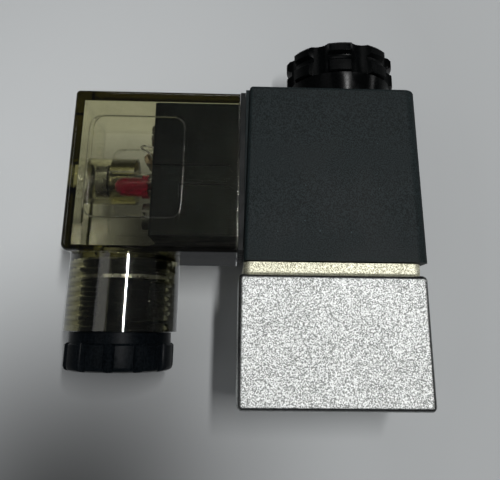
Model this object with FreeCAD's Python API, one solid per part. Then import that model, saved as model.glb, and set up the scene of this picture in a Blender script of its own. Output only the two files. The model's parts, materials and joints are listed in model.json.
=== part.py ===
import FreeCAD, Part
import math
import os

# Small start valve of a compressor: a metal valve block, a coil that turns on an upright tube,
# and a clear cable plug with a cable gland. Millimetres, +Z up along the armature axis,
# the plug towards -X, the origin on the block's underside below the armature axis.

os.makedirs("parts", exist_ok=True)

# Shared clearances
RUN = 0.08
SEAT = 0.05
FACE = 0.10
SLIVER = 0.01
OVER = 1.0

# Valve block
BODY_L = 29.75
AXIS_SHARE = 0.63
BODY_X0 = -BODY_L * AXIS_SHARE
BODY_X1 = BODY_X0 + BODY_L
BODY_H = 19.85
HALF_DEPTH = 11.0
BODY_EDGE_R = 0.8
PORT_R = 4.283
PORT_Z = 7.5
PORT_MOUTH_STEP = 0.65
PORT_MOUTH_DEPTH = 0.7
INLET_DEPTH = 9.0
OUTLET_DEPTH = 8.0
PASSAGE_R = 1.5
RISER_R = 1.1
RECESS_R = 7.6
RECESS_DEPTH = 2.85
RECESS_Z = BODY_H - RECESS_DEPTH
CHAMBER_R = 5.2
CHAMBER_DEPTH = 4.6
CHAMBER_Z = RECESS_Z - CHAMBER_DEPTH
VALVE_SEAT_R = 2.3
VALVE_SEAT_H = 1.5
VALVE_SEAT_Z = CHAMBER_Z + VALVE_SEAT_H
VALVE_SEAT_BEVEL = 0.5
RISER_X = -(VALVE_SEAT_R + CHAMBER_R) / 2
ORIFICE_R = 1.25
BASE_HOLE_R = 1.25
BASE_HOLE_DEPTH = 6.0
BASE_HOLE_X = (BODY_X0 + BODY_X1) / 2
BASE_HOLE_Y = 7.5

# Bonnet plate and its four countersunk screws
PLATE_INSET = 0.75
PLATE_X0 = BODY_X0 + PLATE_INSET
PLATE_X1 = BODY_X1 - PLATE_INSET
PLATE_HALF_Y = HALF_DEPTH - PLATE_INSET
PLATE_T = 1.9
PLATE_CORNER_R = 1.2
PLATE_EDGE_R = 0.4
PLATE_TOP = BODY_H + PLATE_T
SCREW_R = 1.5
SCREW_INSET = 2.9
SCREW_XS = (PLATE_X0 + SCREW_INSET, PLATE_X1 - SCREW_INSET)
SCREW_Y = PLATE_HALF_Y - SCREW_INSET
SCREW_HEAD_R = 2.8
SCREW_HEAD_T = 1.5
SCREW_GRIP = 5.85
SCREW_TIP_Z = BODY_H - SCREW_GRIP
SOCKET_R = 1.15
SOCKET_DEPTH = 1.0

# Moulded coil, from the plate upwards
COIL_X0 = -18.0
COIL_L = 29.5
COIL_X1 = COIL_X0 + COIL_L
COIL_GAP = 0.15
COIL_Z0 = PLATE_TOP + COIL_GAP
COIL_H = 29.75
COIL_TOP = COIL_Z0 + COIL_H
COIL_DRAFT_LEFT = 0.65
COIL_DRAFT_RIGHT = 0.15
COIL_DRAFT_Y = 0.35
COIL_CORNER_LEFT_R = 0.6
COIL_CORNER_RIGHT_R = 1.9
COIL_TOP_EDGE_R = 0.55
COIL_FLOOR = 1.35
COIL_ROOF = 1.45
PAD_INSET_Y = 1.3
PAD_HALF_Y = HALF_DEPTH - PAD_INSET_Y
PAD_RISE = 1.5
PAD_Z0 = COIL_Z0 + PAD_RISE
PAD_DROP = 0.5
PAD_Z1 = COIL_TOP - PAD_DROP
PAD_ROOT = 3.0

# Armature tube, its seal and the fixed core with its threaded stud
TUBE_R = 4.5
TUBE_WALL = 0.5
TUBE_BORE_R = TUBE_R - TUBE_WALL
FLANGE_R = RECESS_R - 2 * FACE
FLANGE_T = 1.35
FLANGE_Z0 = BODY_H - FLANGE_T
TUBE_SKIRT = 3.0
TUBE_Z0 = FLANGE_Z0 - TUBE_SKIRT
TUBE_BELOW_TOP = 1.2
TUBE_Z1 = COIL_TOP - TUBE_BELOW_TOP
RING_WIRE_R = (FLANGE_Z0 - RECESS_Z) / 2 - SLIVER
RING_MEAN_R = (CHAMBER_R + RECESS_R) / 2
CORE_R = TUBE_BORE_R - SEAT
CORE_L = 13.7
CORE_Z0 = TUBE_Z1 - CORE_L
COLLAR_H = 0.8
COLLAR_TOP = TUBE_Z1 + COLLAR_H
STUD_R = 3.9
STUD_L = 7.5
STUD_TOP = COLLAR_TOP + STUD_L
STUD_BEVEL = 0.5
SHADE_OUT_R = 3.3
SHADE_IN_R = 2.7
SHADE_H = 1.4
SPRING_SEAT_R = 2.0
SPRING_SEAT_DEPTH = 1.4
COIL_BORE_R = TUBE_R + 2 * FACE

# Plunger, its seal disc and its return spring
STROKE = 1.5
PLUNGER_R = TUBE_BORE_R - RUN
DISC_SHY = 0.4
PLUNGER_Z0 = VALVE_SEAT_Z + DISC_SHY
PLUNGER_Z1 = CORE_Z0 - STROKE - SEAT
PLUNGER_BORE_R = 2.05
PLUNGER_BORE_DEPTH = 6.95
PLUNGER_BORE_Z = PLUNGER_Z1 - PLUNGER_BORE_DEPTH
FLUTE_R = 0.6
FLUTES = 4
DISC_R = 2.45
DISC_T = 2.28
DISC_Z0 = VALVE_SEAT_Z + 2 * SLIVER
DISC_Z1 = DISC_Z0 + DISC_T
SPRING_MEAN_R = 1.55
SPRING_WIRE_R = 0.22
SPRING_TURNS = 7

# Yoke, bobbin and winding inside the coil
BOBBIN_BORE_R = TUBE_R + RUN
BOBBIN_WALL = 0.62
BOBBIN_TUBE_R = BOBBIN_BORE_R + BOBBIN_WALL
BOBBIN_FLANGE_R = 7.5
BOBBIN_FLANGE_T = 0.9
YOKE_T = 1.4
YOKE_X = BOBBIN_FLANGE_R + 2 * FACE + YOKE_T
YOKE_HALF_Y = 6.5
CAVITY_X = YOKE_X + SEAT
CAVITY_Y = BOBBIN_FLANGE_R + FACE
CAVITY_Z0 = COIL_Z0 + COIL_FLOOR
CAVITY_Z1 = COIL_TOP - COIL_ROOF
YOKE_Z0 = CAVITY_Z0 + SEAT
YOKE_Z1 = CAVITY_Z1 - SEAT
BOBBIN_Z0 = YOKE_Z0 + YOKE_T + SEAT
BOBBIN_Z1 = YOKE_Z1 - YOKE_T - SEAT
WINDING_SHY = 0.2
WINDING_R = BOBBIN_FLANGE_R - WINDING_SHY

# Blades on the coil and the thread for the plug's fixing screw
PLUG_RISE = 14.8
PLUG_Z = COIL_Z0 + PLUG_RISE
BLADE_W = 6.3
BLADE_T = 0.8
BLADE_OUT = 9.9
BLADE_IN = 2.5
BLADE_TIP_X = COIL_X0 - BLADE_OUT
BLADE_ROOT_X = COIL_X0 + BLADE_IN
BLADE_BEVEL = 0.5
LIVE_Y = 5.5
EARTH_RISE = 8.5
EARTH_Z = PLUG_Z + EARTH_RISE
NUT_INSERT_R = 2.2
NUT_INSERT_L = 5.4
NUT_INSERT_X1 = COIL_X0 + NUT_INSERT_L
PLUG_SCREW_R = 1.46
PLUG_THREAD_R = PLUG_SCREW_R + RUN - SLIVER

# Coil nut
KNOB_Z0 = COIL_TOP + FACE
KNOB_SKIRT_R = 8.5
KNOB_SKIRT_TOP_R = 9.35
KNOB_SKIRT_H = 3.6
KNOB_TIER_R = 10.0
KNOB_LOWER_TIER_H = 2.4
KNOB_GROOVE_H = 1.3
KNOB_GROOVE_DEPTH = 0.8
KNOB_UPPER_TIER_H = 1.95
KNOB_TIER2_Z0 = KNOB_Z0 + KNOB_SKIRT_H
KNOB_TIER2_Z1 = KNOB_TIER2_Z0 + KNOB_LOWER_TIER_H
KNOB_TIER1_Z0 = KNOB_TIER2_Z1 + KNOB_GROOVE_H
KNOB_TOP = KNOB_TIER1_Z0 + KNOB_UPPER_TIER_H
KNOB_GROOVE_R = KNOB_TIER_R - KNOB_GROOVE_DEPTH
KNOB_BEVEL = 0.25
KNOB_LOBES = 8
KNOB_LOBE_ANGLE = -8.0
KNOB_CUT_R = 2.4
KNOB_CUT_DEPTH = 1.25
KNOB_CUT_DIST = KNOB_TIER_R - KNOB_CUT_DEPTH + KNOB_CUT_R
KNOB_BORE_R = STUD_R + RUN
KNOB_BORE_SPARE = 0.5
KNOB_BORE_TOP = STUD_TOP + KNOB_BORE_SPARE
KNOB_DISH_R = 6.5
KNOB_DISH_DEPTH = 0.6
NUT_RING_ROOM = 1.52
NUT_RING_R = 0.5
NUT_RING_GROOVE_R = KNOB_BORE_R + NUT_RING_ROOM
NUT_RING_GROOVE_H = 1.1
NUT_RING_MEAN_R = (KNOB_BORE_R + NUT_RING_GROOVE_R) / 2

# Clear plug cover with its gland tube
GASKET_ROOM = 0.95
COVER_X1 = COIL_X0 - GASKET_ROOM
COVER_L = 28.05
COVER_X0 = COVER_X1 - COVER_L
COVER_HALF_Y = 10.4
COVER_RISE = 1.2
COVER_Z0 = COIL_Z0 + COVER_RISE
COVER_H = 27.2
COVER_Z1 = COVER_Z0 + COVER_H
COVER_SIDE_R = 0.8
COVER_BOTTOM_R = 1.2
COVER_TOP_R = 0.6
WALL = 1.5
FLOOR_T = 1.15
ROOF_T = 1.6
ROOM_Z0 = COVER_Z0 + FLOOR_T
ROOM_Z1 = COVER_Z1 - ROOF_T
LIP_OUT = 0.15
LIP_H = 0.5
LIP_INSET = 3.0
GLAND_INSET = 8.7
GLAND_X = COVER_X0 + GLAND_INSET
GLAND_TUBE_R = 9.33
GLAND_WALL = 1.53
GLAND_BORE_R = GLAND_TUBE_R - GLAND_WALL
GLAND_TUBE_L = 12.1
GLAND_TUBE_Z0 = COVER_Z0 - GLAND_TUBE_L
BULGE_H = 15.1
BULGE_TOP = COVER_Z0 + BULGE_H
RIB_DEPTH = 0.6
RIB_ROOT = 0.2
RIB_IN_R = GLAND_BORE_R - RIB_DEPTH
RIB_T = 0.7
RIB_PITCH = 1.5
RIB_COUNT = 7
RIB_INSET = 0.6
RIB_Z0 = GLAND_TUBE_Z0 + RIB_INSET
RIB_HALF_ANGLE = 72.0
RIB_TILT = 2.8
GLAND_STOP_DROP = 0.7
GLAND_STOP_Z = COVER_Z0 - GLAND_STOP_DROP
GLAND_STOP_R = 5.0
WINDOW_INSET = 3.6
WINDOW_RISE = 5.4
WINDOW_L = 15.8
WINDOW_H = 17.2
WINDOW_X0 = COVER_X0 + WINDOW_INSET
WINDOW_Z0 = COVER_Z0 + WINDOW_RISE
WINDOW_R = 2.0
WINDOW_DEPTH = 0.3
PLUG_HEAD_R = 2.9
PLUG_HEAD_T = 1.95
HEAD_PLAY = 0.4
HEAD_POCKET_R = PLUG_HEAD_R + HEAD_PLAY
HEAD_POCKET_DEPTH = 5.4
HEAD_POCKET_X = COVER_X0 + HEAD_POCKET_DEPTH
BOSS_WALL = 0.85
BOSS_R = HEAD_POCKET_R + BOSS_WALL
BOSS_L = 9.8
BOSS_X1 = COVER_X0 + BOSS_L
SHANK_PLAY = 0.24
SHANK_HOLE_R = PLUG_SCREW_R + SHANK_PLAY

# Plug insert, contacts, gasket and screws
INSERT_L = 14.55
INSERT_X0 = COVER_X1 - INSERT_L
INSERT_HALF_Y = COVER_HALF_Y - WALL - FACE
INSERT_RISE = 1.55
INSERT_Z0 = ROOM_Z0 + INSERT_RISE
INSERT_Z1 = ROOM_Z1 - FACE
INSERT_EDGE_R = 0.5
BAND_DEPTH = 0.6
BAND_INSET = 1.75
UPPER_BAND_DROP = -1.5
UPPER_BAND_W = 2.5
LOWER_BAND_DROP = -4.5
LOWER_BAND_W = 2.2
LOWER_BAND_L = 8.2
CONTACT_SET_IN = 0.5
CONTACT_SHY = 0.65
CONTACT_X0 = INSERT_X0 + CONTACT_SET_IN
CONTACT_X1 = COVER_X1 - CONTACT_SHY
CONTACT_WALL = 0.9
CONTACT_SIDE = 0.65
CONTACT_T = BLADE_T + 2 * CONTACT_WALL
CONTACT_W = BLADE_W + 2 * CONTACT_SIDE
SLOT_SPARE = 0.4
SLOT_X0 = BLADE_TIP_X - SLOT_SPARE
SLOT_PLAY = 0.05
LEG_L = 3.0
LEG_X1 = CONTACT_X0 + LEG_L
TERMINAL_DROP = 7.3
TERMINAL_Z = PLUG_Z - TERMINAL_DROP
TERMINAL_SHANK_R = 1.25
TERMINAL_HEAD_R = 2.2
TERMINAL_HEAD_T = 1.3
TERMINAL_L = 3.1
TERMINAL_TIP_X = INSERT_X0 + TERMINAL_L
TERMINAL_SLOT_W = 0.6
TERMINAL_SLOT_DEPTH = 0.6
LEG_HALF_Y = TERMINAL_HEAD_R - FACE
LEG_BELOW = 2.4
LEG_Z0 = TERMINAL_Z - LEG_BELOW
GASKET_X0 = COVER_X1 + SEAT
GASKET_X1 = COIL_X0 - SEAT
GASKET_INSET = 0.5
GASKET_RISE = 0.4
GASKET_SIDE_INSET = 0.2
GASKET_HALF_Y = PAD_HALF_Y - GASKET_SIDE_INSET
GASKET_Z0 = COVER_Z0 + GASKET_INSET
GASKET_Z1 = COVER_Z1 + GASKET_RISE
GASKET_HOLE_PLAY = 0.15
PLUG_SEAL_T = 0.5
PLUG_SEAL_R = 2.75
PLUG_HEAD_X1 = HEAD_POCKET_X - PLUG_SEAL_T - SEAT
PLUG_HEAD_X0 = PLUG_HEAD_X1 - PLUG_HEAD_T
PLUG_TIP_SHY = 0.6
PLUG_TIP_X = NUT_INSERT_X1 - PLUG_TIP_SHY
CROSS_W = 0.9
CROSS_L = 3.4
CROSS_DEPTH = 1.2

# Lamp and its series resistor
LED_Y = -6.0
LED_DROP = 2.3
LED_Z = PLUG_Z - LED_DROP
LED_R = 1.6
LED_FLANGE_R = 2.0
LED_FLANGE_T = 1.05
LED_STAND_OFF = 0.65
LED_BARREL_L = 4.15
LED_BASE_X = INSERT_X0 - LED_STAND_OFF
LED_DOME_X = LED_BASE_X - LED_BARREL_L
LEAD_R = 0.25
LEAD_SPREAD = 0.8
RESISTOR_R = 1.05
RESISTOR_STAND_OFF = 1.8
RESISTOR_X = INSERT_X0 - RESISTOR_STAND_OFF
RESISTOR_RISE = 4.6
RESISTOR_Z = PLUG_Z + RESISTOR_RISE
RESISTOR_Y = 3.4
RESISTOR_L = 5.6
RESISTOR_LEAD_L = 9.2
RESISTOR_LEAD_Y = 3.0

# Cable gland nut with its washer and cable seal
NUT_GAP = 1.8
NUT_HEAD_TOP = GLAND_TUBE_Z0 - NUT_GAP
NUT_HEAD_H = 4.25
NUT_Z0 = NUT_HEAD_TOP - NUT_HEAD_H
NUT_R = 8.9
NUT_GRIP_COUNT = 12
NUT_GRIP_CUT_R = 0.9
NUT_GRIP_CUT_DEPTH = 0.8
NUT_GRIP_CUT_DIST = NUT_R - NUT_GRIP_CUT_DEPTH + NUT_GRIP_CUT_R
NUT_ROUND_R = 0.8
NUT_BEVEL = 0.3
NECK_R = 8.4
NECK_SHY = 0.15
NECK_TOP = GLAND_TUBE_Z0 - NECK_SHY
NUT_THREAD_R = RIB_IN_R - FACE
SPIGOT_H = 10.05
NUT_TOP = NUT_HEAD_TOP + SPIGOT_H
CABLE_R = 4.3
WASHER_T = 0.55
WASHER_TOP = NUT_TOP + WASHER_T
SEAL_PLAY = 0.05
SEAL_SHY = 0.2
SEAL_TOP = GLAND_STOP_Z - SEAL_SHY


def vec(x, y, z):
    return FreeCAD.Vector(x, y, z)


def block(x0, x1, y0, y1, z0, z1):
    return Part.makeBox(x1 - x0, y1 - y0, z1 - z0, vec(x0, y0, z0))


def rod(r, z0, z1, x=0.0, y=0.0):
    return Part.makeCylinder(r, z1 - z0, vec(x, y, z0))


def rod_x(r, x0, x1, y, z):
    return Part.makeCylinder(r, x1 - x0, vec(x0, y, z), vec(1, 0, 0))


def rod_y(r, y0, y1, x, z):
    return Part.makeCylinder(r, y1 - y0, vec(x, y0, z), vec(0, 1, 0))


def ring(r_out, r_in, z0, z1, x=0.0):
    return rod(r_out, z0, z1, x).cut(rod(r_in, z0 - OVER, z1 + OVER, x))


def turned(points, x=0.0):
    """A solid turned about the upright axis through x, from (radius, z) points."""
    wire = Part.makePolygon([vec(x + r, 0, z) for r, z in points + points[:1]])
    return Part.Face(wire).revolve(vec(x, 0, 0), vec(0, 0, 1), 360)


def rounded_outline(x0, x1, y0, y1, r_left, r_right, z):
    """A closed outline at height z with its own corner radius at each end."""
    pts = []
    corners = ((x0, y0, r_left, 180), (x1, y0, r_right, 270), (x1, y1, r_right, 0), (x0, y1, r_left, 90))
    for cx, cy, r, start in corners:
        mx = cx + (r if cx == x0 else -r)
        my = cy + (r if cy == y0 else -r)
        arc = []
        for step in (0, 45, 90):
            a = math.radians(start + step)
            arc.append(vec(mx + r * math.cos(a), my + r * math.sin(a), z))
        pts.append(arc)
    edges = []
    for i, arc in enumerate(pts):
        edges.append(Part.Arc(*arc).toShape())
        edges.append(Part.makeLine(arc[2], pts[(i + 1) % len(pts)][0]))
    return Part.Wire(edges)


def edges_where(shape, test):
    found = []
    for edge in shape.Edges:
        box = edge.BoundBox
        if test(box):
            found.append(edge)
    return found


def is_upright_at_x(x):
    def test(box):
        return box.ZLength > 1 and box.XLength < 0.01 and abs(box.XMin - x) < 0.01
    return test


def is_level_at_z(z, x_open):
    def test(box):
        return box.ZLength < 0.01 and abs(box.ZMin - z) < 0.01 and box.XMin < x_open - 0.01
    return test


def save(name, shape):
    shape.exportStep("parts/" + name + ".step")


def save_group(name, shapes):
    save(name, Part.makeCompound(shapes))


def valve_block():
    s = block(BODY_X0, BODY_X1, -HALF_DEPTH, HALF_DEPTH, 0, BODY_H)
    s = s.makeFillet(BODY_EDGE_R, s.Edges)
    s = s.cut(rod(RECESS_R, RECESS_Z, BODY_H + OVER))
    s = s.cut(rod(CHAMBER_R, CHAMBER_Z, RECESS_Z + OVER))
    b = VALVE_SEAT_BEVEL
    seat = [(0, CHAMBER_Z - OVER), (VALVE_SEAT_R, CHAMBER_Z - OVER), (VALVE_SEAT_R, VALVE_SEAT_Z - b),
            (VALVE_SEAT_R - b, VALVE_SEAT_Z), (0, VALVE_SEAT_Z)]
    s = s.fuse(turned(seat))
    s = s.cut(rod(ORIFICE_R, PORT_Z, VALVE_SEAT_Z + OVER))
    s = s.cut(rod_x(PASSAGE_R, -ORIFICE_R, BODY_X1, 0, PORT_Z))
    s = s.cut(rod_x(PASSAGE_R, BODY_X0, RISER_X + RISER_R, 0, PORT_Z))
    s = s.cut(rod(RISER_R, PORT_Z, CHAMBER_Z + OVER, RISER_X))
    s = s.cut(rod_x(PORT_R, BODY_X0 - OVER, BODY_X0 + INLET_DEPTH, 0, PORT_Z))
    s = s.cut(rod_x(PORT_R, BODY_X1 - OUTLET_DEPTH, BODY_X1 + OVER, 0, PORT_Z))
    for x, side in ((BODY_X0, 1), (BODY_X1, -1)):
        mouth = Part.makeCone(PORT_R + PORT_MOUTH_STEP, PORT_R, PORT_MOUTH_DEPTH,
                              vec(x, 0, PORT_Z), vec(side, 0, 0))
        s = s.cut(mouth)
    for y in (-BASE_HOLE_Y, BASE_HOLE_Y):
        s = s.cut(rod(BASE_HOLE_R, -OVER, BASE_HOLE_DEPTH, BASE_HOLE_X, y))
    for x in SCREW_XS:
        for y in (-SCREW_Y, SCREW_Y):
            s = s.cut(rod(SCREW_R + SEAT, SCREW_TIP_Z - OVER, BODY_H + OVER, x, y))
    return s


def bonnet_plate():
    outline = rounded_outline(PLATE_X0, PLATE_X1, -PLATE_HALF_Y, PLATE_HALF_Y,
                              PLATE_CORNER_R, PLATE_CORNER_R, BODY_H)
    s = Part.Face(outline).extrude(vec(0, 0, PLATE_T))
    s = s.makeFillet(PLATE_EDGE_R, edges_where(s, is_level_at_z(BODY_H, 1000)))
    s = s.cut(rod(TUBE_R + SEAT, BODY_H - OVER, PLATE_TOP + OVER))
    for x in SCREW_XS:
        for y in (-SCREW_Y, SCREW_Y):
            s = s.cut(rod(SCREW_R + SEAT, BODY_H - OVER, PLATE_TOP + OVER, x, y))
            sink = Part.makeCone(SCREW_R + SEAT, SCREW_HEAD_R + SEAT, SCREW_HEAD_T,
                                 vec(x, y, PLATE_TOP - SCREW_HEAD_T))
            s = s.cut(sink)
    return s


def plate_screws():
    screws = []
    for x in SCREW_XS:
        for y in (-SCREW_Y, SCREW_Y):
            s = rod(SCREW_R, SCREW_TIP_Z, PLATE_TOP - SCREW_HEAD_T + SEAT, x, y)
            head = Part.makeCone(SCREW_R, SCREW_HEAD_R, SCREW_HEAD_T, vec(x, y, PLATE_TOP - SCREW_HEAD_T))
            s = s.fuse(head)
            s = s.cut(hexagon(SOCKET_R, PLATE_TOP - SOCKET_DEPTH, PLATE_TOP + OVER, x, y))
            screws.append(s.removeSplitter())
    return screws


def hexagon(r, z0, z1, x, y):
    pts = []
    for i in range(7):
        a = math.radians(60 * i)
        pts.append(vec(x + r * math.cos(a), y + r * math.sin(a), z0))
    return Part.Face(Part.makePolygon(pts)).extrude(vec(0, 0, z1 - z0))


def flange_seal():
    return Part.makeTorus(RING_MEAN_R, RING_WIRE_R, vec(0, 0, (RECESS_Z + FLANGE_Z0) / 2))


def armature_tube():
    s = rod(TUBE_R, TUBE_Z0, TUBE_Z1).fuse(rod(FLANGE_R, FLANGE_Z0, BODY_H))
    return s.cut(rod(TUBE_BORE_R, TUBE_Z0 - OVER, TUBE_Z1 + OVER))


def fixed_core():
    s = turned([(0, CORE_Z0), (CORE_R, CORE_Z0), (CORE_R, TUBE_Z1), (TUBE_R, TUBE_Z1), (TUBE_R, COLLAR_TOP),
                (STUD_R, COLLAR_TOP), (STUD_R, STUD_TOP - STUD_BEVEL), (STUD_R - STUD_BEVEL, STUD_TOP),
                (0, STUD_TOP)])
    s = s.cut(ring(SHADE_OUT_R + SEAT, SHADE_IN_R - SEAT, CORE_Z0 - OVER, CORE_Z0 + SHADE_H))
    return s.cut(rod(SPRING_SEAT_R, CORE_Z0 - OVER, CORE_Z0 + SPRING_SEAT_DEPTH))


def plunger():
    s = rod(PLUNGER_R, PLUNGER_Z0, PLUNGER_Z1)
    s = s.cut(rod(PLUNGER_BORE_R, PLUNGER_BORE_Z, PLUNGER_Z1 + OVER))
    s = s.cut(rod(DISC_R + SEAT, PLUNGER_Z0 - OVER, DISC_Z1))
    for i in range(FLUTES):
        a = math.radians(45 + 360 / FLUTES * i)
        x = PLUNGER_R * math.cos(a)
        y = PLUNGER_R * math.sin(a)
        s = s.cut(rod(FLUTE_R, PLUNGER_Z0 - OVER, PLUNGER_Z1 + OVER, x, y))
    return s


def return_spring():
    z0 = PLUNGER_BORE_Z + SPRING_WIRE_R + SLIVER
    z1 = CORE_Z0 + SPRING_SEAT_DEPTH - SPRING_WIRE_R - SLIVER
    path = Part.makeHelix((z1 - z0) / SPRING_TURNS, z1 - z0, SPRING_MEAN_R)
    path.translate(vec(0, 0, z0))
    start = path.Edges[0].valueAt(path.Edges[0].FirstParameter)
    along = path.Edges[0].tangentAt(path.Edges[0].FirstParameter)
    wire = Part.Wire([Part.makeCircle(SPRING_WIRE_R, start, along)])
    return Part.Wire(path.Edges).makePipeShell([wire], True, True)


def coil_case():
    low = rounded_outline(COIL_X0, COIL_X1, -HALF_DEPTH, HALF_DEPTH,
                          COIL_CORNER_LEFT_R, COIL_CORNER_RIGHT_R, COIL_Z0)
    high = rounded_outline(COIL_X0 + COIL_DRAFT_LEFT, COIL_X1 - COIL_DRAFT_RIGHT,
                           -HALF_DEPTH + COIL_DRAFT_Y, HALF_DEPTH - COIL_DRAFT_Y,
                           COIL_CORNER_LEFT_R, COIL_CORNER_RIGHT_R, COIL_TOP)
    s = Part.makeLoft([low, high], True, True)
    s = s.makeFillet(COIL_TOP_EDGE_R, edges_where(s, is_level_at_z(COIL_TOP, 1000)))
    s = s.fuse(block(COIL_X0, COIL_X0 + PAD_ROOT, -PAD_HALF_Y, PAD_HALF_Y, PAD_Z0, PAD_Z1))
    s = s.cut(block(-CAVITY_X, CAVITY_X, -CAVITY_Y, CAVITY_Y, CAVITY_Z0, CAVITY_Z1))
    s = s.cut(rod(COIL_BORE_R, COIL_Z0 - OVER, COIL_TOP + OVER))
    s = s.cut(rod_x(NUT_INSERT_R + SLIVER, COIL_X0 - OVER, NUT_INSERT_X1 + SLIVER, 0, PLUG_Z))
    for blade in live_blades() + [earth_blade()]:
        box = blade.BoundBox
        s = s.cut(block(COIL_X0 - OVER, box.XMax + SLIVER, box.YMin - SLIVER, box.YMax + SLIVER,
                        box.ZMin - SLIVER, box.ZMax + SLIVER))
    return s


def coil_yoke():
    s = block(-YOKE_X, YOKE_X, -YOKE_HALF_Y, YOKE_HALF_Y, YOKE_Z0, YOKE_Z1)
    inner = YOKE_X - YOKE_T
    s = s.cut(block(-inner, inner, -HALF_DEPTH, HALF_DEPTH, YOKE_Z0 + YOKE_T, YOKE_Z1 - YOKE_T))
    return s.cut(rod(COIL_BORE_R, YOKE_Z0 - OVER, YOKE_Z1 + OVER))


def coil_bobbin():
    t = BOBBIN_FLANGE_T
    spool = [(BOBBIN_BORE_R, BOBBIN_Z0), (BOBBIN_FLANGE_R, BOBBIN_Z0), (BOBBIN_FLANGE_R, BOBBIN_Z0 + t),
             (BOBBIN_TUBE_R, BOBBIN_Z0 + t), (BOBBIN_TUBE_R, BOBBIN_Z1 - t),
             (BOBBIN_FLANGE_R, BOBBIN_Z1 - t), (BOBBIN_FLANGE_R, BOBBIN_Z1), (BOBBIN_BORE_R, BOBBIN_Z1)]
    return turned(spool)


def coil_winding():
    z0 = BOBBIN_Z0 + BOBBIN_FLANGE_T + SEAT
    z1 = BOBBIN_Z1 - BOBBIN_FLANGE_T - SEAT
    return ring(WINDING_R, BOBBIN_TUBE_R + SEAT, z0, z1)


def blade(half_y, half_z, y, z):
    s = block(BLADE_TIP_X, BLADE_ROOT_X, y - half_y, y + half_y, z - half_z, z + half_z)
    def at_tip(box):
        is_corner = box.XLength < 0.01 and abs(box.XMin - BLADE_TIP_X) < 0.01
        return is_corner and max(box.YLength, box.ZLength) < BLADE_T + FACE
    return s.makeChamfer(BLADE_BEVEL, edges_where(s, at_tip))


def live_blades():
    return [blade(BLADE_T / 2, BLADE_W / 2, y, PLUG_Z) for y in (-LIVE_Y, LIVE_Y)]


def earth_blade():
    return blade(BLADE_W / 2, BLADE_T / 2, 0, EARTH_Z)


def coil_nut_insert():
    s = rod_x(NUT_INSERT_R, COIL_X0, NUT_INSERT_X1, 0, PLUG_Z)
    return s.cut(rod_x(PLUG_THREAD_R, COIL_X0 - OVER, NUT_INSERT_X1 + OVER, 0, PLUG_Z))


def coil_nut():
    b = KNOB_BEVEL
    s = turned([(0, KNOB_Z0), (KNOB_SKIRT_R, KNOB_Z0), (KNOB_SKIRT_TOP_R, KNOB_TIER2_Z0),
                (KNOB_TIER_R - b, KNOB_TIER2_Z0), (KNOB_TIER_R, KNOB_TIER2_Z0 + b),
                (KNOB_TIER_R, KNOB_TIER2_Z1 - b), (KNOB_GROOVE_R, KNOB_TIER2_Z1 + b),
                (KNOB_GROOVE_R, KNOB_TIER1_Z0 - b), (KNOB_TIER_R, KNOB_TIER1_Z0 + b),
                (KNOB_TIER_R, KNOB_TOP - 2 * b), (KNOB_TIER_R - 2 * b, KNOB_TOP), (0, KNOB_TOP)])
    for i in range(KNOB_LOBES):
        a = math.radians(KNOB_LOBE_ANGLE - 90 + 360 / KNOB_LOBES * (i + 0.5))
        x = KNOB_CUT_DIST * math.cos(a)
        y = KNOB_CUT_DIST * math.sin(a)
        s = s.cut(rod(KNOB_CUT_R, KNOB_TIER2_Z0 - SLIVER, KNOB_TOP + OVER, x, y))
    s = s.cut(rod(KNOB_DISH_R, KNOB_TOP - KNOB_DISH_DEPTH, KNOB_TOP + OVER))
    s = s.cut(rod(KNOB_BORE_R, KNOB_Z0 - OVER, KNOB_BORE_TOP))
    return s.cut(rod(NUT_RING_GROOVE_R, KNOB_Z0 - OVER, KNOB_Z0 + NUT_RING_GROOVE_H))


def coil_nut_ring():
    return Part.makeTorus(NUT_RING_MEAN_R, NUT_RING_R, vec(0, 0, KNOB_Z0 + NUT_RING_R + SEAT))


def gland_ribs():
    ribs = []
    for i in range(RIB_COUNT):
        z = RIB_Z0 + RIB_PITCH * i
        rib = ring(GLAND_BORE_R + 2 * RIB_ROOT, RIB_IN_R, z, z + RIB_T, GLAND_X)
        rib.rotate(vec(GLAND_X, 0, z), vec(0, 1, 0), RIB_TILT)
        for side in (0, 180):
            sector = Part.makeCylinder(GLAND_BORE_R + RIB_ROOT, COVER_Z1, vec(GLAND_X, 0, 0), vec(0, 0, 1),
                                       2 * RIB_HALF_ANGLE)
            sector.rotate(vec(GLAND_X, 0, 0), vec(0, 0, 1), side - RIB_HALF_ANGLE)
            ribs.append(rib.common(sector))
    return ribs


def window_recess(y0, y1):
    frame = block(WINDOW_X0, WINDOW_X0 + WINDOW_L, y0, y1, WINDOW_Z0, WINDOW_Z0 + WINDOW_H)
    def corner(box):
        return box.YLength > 0.01 and box.XLength < 0.01 and box.ZLength < 0.01
    return frame.makeFillet(WINDOW_R, edges_where(frame, corner))


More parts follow.
